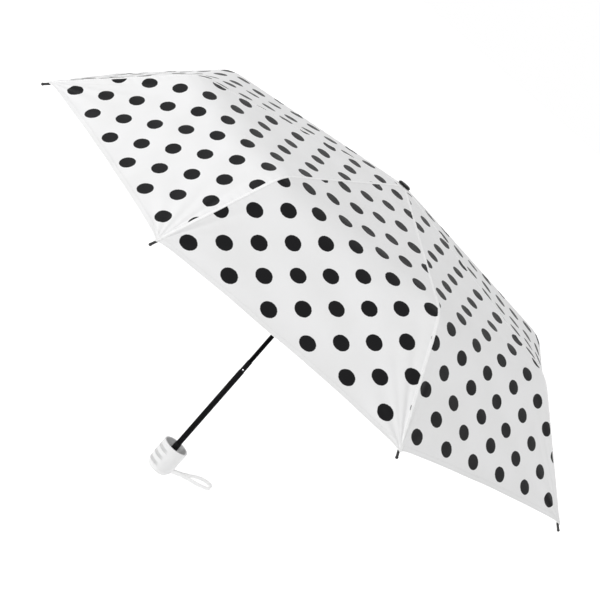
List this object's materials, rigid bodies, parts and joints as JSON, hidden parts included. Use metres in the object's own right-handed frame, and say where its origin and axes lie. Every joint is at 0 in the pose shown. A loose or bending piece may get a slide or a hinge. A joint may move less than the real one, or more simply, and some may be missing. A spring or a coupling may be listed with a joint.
{
  "type": "folding umbrella",
  "caption": "Open three-section folding umbrella with a dotted cloth canopy on folding ribs, a telescopic shaft, a sliding runner and a short cup handle with a wrist strap.",
  "frame": {"origin": "centre of the handle's foot, on the shaft's axis", "axes": "+Z along the shaft from the handle to the top cap; -Y is the side that the three press buttons face; the ribs stand at odd multiples of 22.5 degrees"},
  "size_m": [0.9116, 0.9116, 0.57],
  "materials": {
    "handle_plastic": "white moulded plastic, satin",
    "strap_tape": "white woven polyester tape",
    "canopy_cloth": "white polyester pongee printed with black dots",
    "shaft_steel": "black gloss enamel on steel tube",
    "rib_steel": "black electrophoretic coat on steel",
    "bright_steel": "bright zinc-plated steel",
    "tip_plastic": "black moulded plastic",
    "black_plastic": "black moulded plastic, satin"
  },
  "bodies": {
    "handle": {"handle_grip": "handle_plastic", "handle_base": "handle_plastic", "shaft_collar": "black_plastic", "strap_anchor": "handle_plastic", "wrist_strap": "strap_tape", "lower_tube": "shaft_steel"},
    "lower_lock": {"lower_lock_button": "bright_steel"},
    "middle_shaft": {"middle_tube": "shaft_steel", "middle_bush": "black_plastic"},
    "middle_lock": {"middle_lock_button": "bright_steel"},
    "crown": {"upper_tube": "shaft_steel", "upper_bush": "black_plastic", "notch": "black_plastic", "notch_ring": "bright_steel", "top_cap": "black_plastic", "cap_stud": "black_plastic", "canopy": "canopy_cloth"},
    "main_rib_1": {"main_rib_1": "rib_steel"},
    "stretcher_1": {"stretcher_1": "rib_steel"},
    "middle_rib_1": {"middle_rib_1": "rib_steel"},
    "outer_rib_1": {"outer_rib_1": "rib_steel", "rib_tip_1": "tip_plastic"},
    "main_rib_2": {"main_rib_2": "rib_steel"},
    "stretcher_2": {"stretcher_2": "rib_steel"},
    "middle_rib_2": {"middle_rib_2": "rib_steel"},
    "outer_rib_2": {"outer_rib_2": "rib_steel", "rib_tip_2": "tip_plastic"},
    "main_rib_3": {"main_rib_3": "rib_steel"},
    "stretcher_3": {"stretcher_3": "rib_steel"},
    "middle_rib_3": {"middle_rib_3": "rib_steel"},
    "outer_rib_3": {"outer_rib_3": "rib_steel", "rib_tip_3": "tip_plastic"},
    "main_rib_4": {"main_rib_4": "rib_steel"},
    "stretcher_4": {"stretcher_4": "rib_steel"},
    "middle_rib_4": {"middle_rib_4": "rib_steel"},
    "outer_rib_4": {"outer_rib_4": "rib_steel", "rib_tip_4": "tip_plastic"},
    "main_rib_5": {"main_rib_5": "rib_steel"},
    "stretcher_5": {"stretcher_5": "rib_steel"},
    "middle_rib_5": {"middle_rib_5": "rib_steel"},
    "outer_rib_5": {"outer_rib_5": "rib_steel", "rib_tip_5": "tip_plastic"},
    "main_rib_6": {"main_rib_6": "rib_steel"},
    "stretcher_6": {"stretcher_6": "rib_steel"},
    "middle_rib_6": {"middle_rib_6": "rib_steel"},
    "outer_rib_6": {"outer_rib_6": "rib_steel", "rib_tip_6": "tip_plastic"},
    "main_rib_7": {"main_rib_7": "rib_steel"},
    "stretcher_7": {"stretcher_7": "rib_steel"},
    "middle_rib_7": {"middle_rib_7": "rib_steel"},
    "outer_rib_7": {"outer_rib_7": "rib_steel", "rib_tip_7": "tip_plastic"},
    "main_rib_8": {"main_rib_8": "rib_steel"},
    "stretcher_8": {"stretcher_8": "rib_steel"},
    "middle_rib_8": {"middle_rib_8": "rib_steel"},
    "outer_rib_8": {"outer_rib_8": "rib_steel", "rib_tip_8": "tip_plastic"},
    "runner": {"runner": "black_plastic", "runner_ring": "bright_steel"},
    "runner_latch": {"runner_button": "black_plastic"}
  },
  "joints": [
    {"name": "middle_tube_slide", "type": "slide", "parent": "handle", "child": "middle_shaft", "axis": [0, 0, -1], "range_m": [0, 0.145]},
    {"name": "upper_tube_slide", "type": "slide", "parent": "middle_shaft", "child": "crown", "axis": [0, 0, -1], "range_m": [0, 0.169]},
    {"name": "lower_lock_press", "type": "slide", "parent": "handle", "child": "lower_lock", "axis": [0, 1, 0], "range_m": [0, 0.00045], "stiffness_N_per_m": 600, "springref_m": -0.0007},
    {"name": "middle_lock_press", "type": "slide", "parent": "middle_shaft", "child": "middle_lock", "axis": [0, 1, 0], "range_m": [0, 0.00045], "stiffness_N_per_m": 600, "springref_m": -0.0007},
    {"name": "canopy_fold", "type": "hinge", "parent": "crown", "child": "main_rib_1", "pos_m": [0.00831, 0.00344, 0.55832], "axis": [-0.3827, 0.9239, 0], "range_deg": [0, 80.11], "deforming": ["canopy"]},
    {"name": "stretcher_1_pivot", "type": "hinge", "parent": "main_rib_1", "child": "stretcher_1", "pos_m": [0.07769, 0.03218, 0.54658], "axis": [0.3827, -0.9239, 0], "range_deg": [0, 160.24]},
    {"name": "middle_rib_1_pivot", "type": "hinge", "parent": "main_rib_1", "child": "middle_rib_1", "pos_m": [0.15893, 0.06583, 0.53283], "axis": [0.3827, -0.9239, 0], "range_deg": [0, 176.01]},
    {"name": "outer_rib_1_pivot", "type": "hinge", "parent": "middle_rib_1", "child": "outer_rib_1", "pos_m": [0.30718, 0.12724, 0.50775], "axis": [-0.3827, 0.9239, 0], "range_deg": [0, 148.14]},
    {"name": "rib_2_fold", "type": "hinge", "parent": "crown", "child": "main_rib_2", "pos_m": [0.00344, 0.00831, 0.55832], "axis": [-0.9239, 0.3827, 0], "range_deg": [0, 80.13]},
    {"name": "stretcher_2_pivot", "type": "hinge", "parent": "main_rib_2", "child": "stretcher_2", "pos_m": [0.03218, 0.07769, 0.54658], "axis": [0.9239, -0.3827, 0], "range_deg": [0, 160.24]},
    {"name": "middle_rib_2_pivot", "type": "hinge", "parent": "main_rib_2", "child": "middle_rib_2", "pos_m": [0.06583, 0.15893, 0.53283], "axis": [0.9239, -0.3827, 0], "range_deg": [0, 176.01]},
    {"name": "outer_rib_2_pivot", "type": "hinge", "parent": "middle_rib_2", "child": "outer_rib_2", "pos_m": [0.12724, 0.30718, 0.50775], "axis": [-0.9239, 0.3827, 0], "range_deg": [0, 148.14]},
    {"name": "rib_3_fold", "type": "hinge", "parent": "crown", "child": "main_rib_3", "pos_m": [-0.00344, 0.00831, 0.55832], "axis": [-0.9239, -0.3827, 0], "range_deg": [0, 80.13]},
    {"name": "stretcher_3_pivot", "type": "hinge", "parent": "main_rib_3", "child": "stretcher_3", "pos_m": [-0.03218, 0.07769, 0.54658], "axis": [0.9239, 0.3827, 0], "range_deg": [0, 160.24]},
    {"name": "middle_rib_3_pivot", "type": "hinge", "parent": "main_rib_3", "child": "middle_rib_3", "pos_m": [-0.06583, 0.15893, 0.53283], "axis": [0.9239, 0.3827, 0], "range_deg": [0, 176.01]},
    {"name": "outer_rib_3_pivot", "type": "hinge", "parent": "middle_rib_3", "child": "outer_rib_3", "pos_m": [-0.12724, 0.30718, 0.50775], "axis": [-0.9239, -0.3827, 0], "range_deg": [0, 148.14]},
    {"name": "rib_4_fold", "type": "hinge", "parent": "crown", "child": "main_rib_4", "pos_m": [-0.00831, 0.00344, 0.55832], "axis": [-0.3827, -0.9239, 0], "range_deg": [0, 80.13]},
    {"name": "stretcher_4_pivot", "type": "hinge", "parent": "main_rib_4", "child": "stretcher_4", "pos_m": [-0.07769, 0.03218, 0.54658], "axis": [0.3827, 0.9239, 0], "range_deg": [0, 160.24]},
    {"name": "middle_rib_4_pivot", "type": "hinge", "parent": "main_rib_4", "child": "middle_rib_4", "pos_m": [-0.15893, 0.06583, 0.53283], "axis": [0.3827, 0.9239, 0], "range_deg": [0, 176.01]},
    {"name": "outer_rib_4_pivot", "type": "hinge", "parent": "middle_rib_4", "child": "outer_rib_4", "pos_m": [-0.30718, 0.12724, 0.50775], "axis": [-0.3827, -0.9239, 0], "range_deg": [0, 148.14]},
    {"name": "rib_5_fold", "type": "hinge", "parent": "crown", "child": "main_rib_5", "pos_m": [-0.00831, -0.00344, 0.55832], "axis": [0.3827, -0.9239, 0], "range_deg": [0, 80.13]},
    {"name": "stretcher_5_pivot", "type": "hinge", "parent": "main_rib_5", "child": "stretcher_5", "pos_m": [-0.07769, -0.03218, 0.54658], "axis": [-0.3827, 0.9239, 0], "range_deg": [0, 160.24]},
    {"name": "middle_rib_5_pivot", "type": "hinge", "parent": "main_rib_5", "child": "middle_rib_5", "pos_m": [-0.15893, -0.06583, 0.53283], "axis": [-0.3827, 0.9239, 0], "range_deg": [0, 176.01]},
    {"name": "outer_rib_5_pivot", "type": "hinge", "parent": "middle_rib_5", "child": "outer_rib_5", "pos_m": [-0.30718, -0.12724, 0.50775], "axis": [0.3827, -0.9239, 0], "range_deg": [0, 148.14]},
    {"name": "rib_6_fold", "type": "hinge", "parent": "crown", "child": "main_rib_6", "pos_m": [-0.00344, -0.00831, 0.55832], "axis": [0.9239, -0.3827, 0], "range_deg": [0, 80.13]},
    {"name": "stretcher_6_pivot", "type": "hinge", "parent": "main_rib_6", "child": "stretcher_6", "pos_m": [-0.03218, -0.07769, 0.54658], "axis": [-0.9239, 0.3827, 0], "range_deg": [0, 160.24]},
    {"name": "middle_rib_6_pivot", "type": "hinge", "parent": "main_rib_6", "child": "middle_rib_6", "pos_m": [-0.06583, -0.15893, 0.53283], "axis": [-0.9239, 0.3827, 0], "range_deg": [0, 176.01]},
    {"name": "outer_rib_6_pivot", "type": "hinge", "parent": "middle_rib_6", "child": "outer_rib_6", "pos_m": [-0.12724, -0.30718, 0.50775], "axis": [0.9239, -0.3827, 0], "range_deg": [0, 148.14]},
    {"name": "rib_7_fold", "type": "hinge", "parent": "crown", "child": "main_rib_7", "pos_m": [0.00344, -0.00831, 0.55832], "axis": [0.9239, 0.3827, 0], "range_deg": [0, 80.13]},
    {"name": "stretcher_7_pivot", "type": "hinge", "parent": "main_rib_7", "child": "stretcher_7", "pos_m": [0.03218, -0.07769, 0.54658], "axis": [-0.9239, -0.3827, 0], "range_deg": [0, 160.24]},
    {"name": "middle_rib_7_pivot", "type": "hinge", "parent": "main_rib_7", "child": "middle_rib_7", "pos_m": [0.06583, -0.15893, 0.53283], "axis": [-0.9239, -0.3827, 0], "range_deg": [0, 176.01]},
    {"name": "outer_rib_7_pivot", "type": "hinge", "parent": "middle_rib_7", "child": "outer_rib_7", "pos_m": [0.12724, -0.30718, 0.50775], "axis": [0.9239, 0.3827, 0], "range_deg": [0, 148.14]},
    {"name": "rib_8_fold", "type": "hinge", "parent": "crown", "child": "main_rib_8", "pos_m": [0.00831, -0.00344, 0.55832], "axis": [0.3827, 0.9239, 0], "range_deg": [0, 80.13]},
    {"name": "stretcher_8_pivot", "type": "hinge", "parent": "main_rib_8", "child": "stretcher_8", "pos_m": [0.07769, -0.03218, 0.54658], "axis": [-0.3827, -0.9239, 0], "range_deg": [0, 160.24]},
    {"name": "middle_rib_8_pivot", "type": "hinge", "parent": "main_rib_8", "child": "middle_rib_8", "pos_m": [0.15893, -0.06583, 0.53283], "axis": [-0.3827, -0.9239, 0], "range_deg": [0, 176.01]},
    {"name": "outer_rib_8_pivot", "type": "hinge", "parent": "middle_rib_8", "child": "outer_rib_8", "pos_m": [0.30718, -0.12724, 0.50775], "axis": [0.3827, 0.9239, 0], "range_deg": [0, 148.14]},
    {"name": "runner_travel", "type": "hinge", "parent": "stretcher_1", "child": "runner", "pos_m": [0.00831, 0.00344, 0.53484], "axis": [-0.3827, 0.9239, 0], "range_deg": [0, 80.13]},
    {"name": "runner_button_press", "type": "slide", "parent": "runner", "child": "runner_latch", "axis": [0, 1, 0], "range_m": [0, 0.001], "stiffness_N_per_m": 500, "springref_m": -0.001}
  ],
  "couplings": [
    {"joint": "stretcher_1_pivot", "follows": "canopy_fold", "ratio": 2},
    {"joint": "middle_rib_1_pivot", "follows": "canopy_fold", "ratio": 2.1968},
    {"joint": "outer_rib_1_pivot", "follows": "canopy_fold", "ratio": 1.849},
    {"joint": "rib_2_fold", "follows": "canopy_fold", "ratio": 1},
    {"joint": "stretcher_2_pivot", "follows": "canopy_fold", "ratio": 2},
    {"joint": "middle_rib_2_pivot", "follows": "canopy_fold", "ratio": 2.1968},
    {"joint": "outer_rib_2_pivot", "follows": "canopy_fold", "ratio": 1.849},
    {"joint": "rib_3_fold", "follows": "canopy_fold", "ratio": 1},
    {"joint": "stretcher_3_pivot", "follows": "canopy_fold", "ratio": 2},
    {"joint": "middle_rib_3_pivot", "follows": "canopy_fold", "ratio": 2.1968},
    {"joint": "outer_rib_3_pivot", "follows": "canopy_fold", "ratio": 1.849},
    {"joint": "rib_4_fold", "follows": "canopy_fold", "ratio": 1},
    {"joint": "stretcher_4_pivot", "follows": "canopy_fold", "ratio": 2},
    {"joint": "middle_rib_4_pivot", "follows": "canopy_fold", "ratio": 2.1968},
    {"joint": "outer_rib_4_pivot", "follows": "canopy_fold", "ratio": 1.849},
    {"joint": "rib_5_fold", "follows": "canopy_fold", "ratio": 1},
    {"joint": "stretcher_5_pivot", "follows": "canopy_fold", "ratio": 2},
    {"joint": "middle_rib_5_pivot", "follows": "canopy_fold", "ratio": 2.1968},
    {"joint": "outer_rib_5_pivot", "follows": "canopy_fold", "ratio": 1.849},
    {"joint": "rib_6_fold", "follows": "canopy_fold", "ratio": 1},
    {"joint": "stretcher_6_pivot", "follows": "canopy_fold", "ratio": 2},
    {"joint": "middle_rib_6_pivot", "follows": "canopy_fold", "ratio": 2.1968},
    {"joint": "outer_rib_6_pivot", "follows": "canopy_fold", "ratio": 1.849},
    {"joint": "rib_7_fold", "follows": "canopy_fold", "ratio": 1},
    {"joint": "stretcher_7_pivot", "follows": "canopy_fold", "ratio": 2},
    {"joint": "middle_rib_7_pivot", "follows": "canopy_fold", "ratio": 2.1968},
    {"joint": "outer_rib_7_pivot", "follows": "canopy_fold", "ratio": 1.849},
    {"joint": "rib_8_fold", "follows": "canopy_fold", "ratio": 1},
    {"joint": "stretcher_8_pivot", "follows": "canopy_fold", "ratio": 2},
    {"joint": "middle_rib_8_pivot", "follows": "canopy_fold", "ratio": 2.1968},
    {"joint": "outer_rib_8_pivot", "follows": "canopy_fold", "ratio": 1.849},
    {"joint": "runner_travel", "follows": "canopy_fold", "ratio": 1}
  ]
}
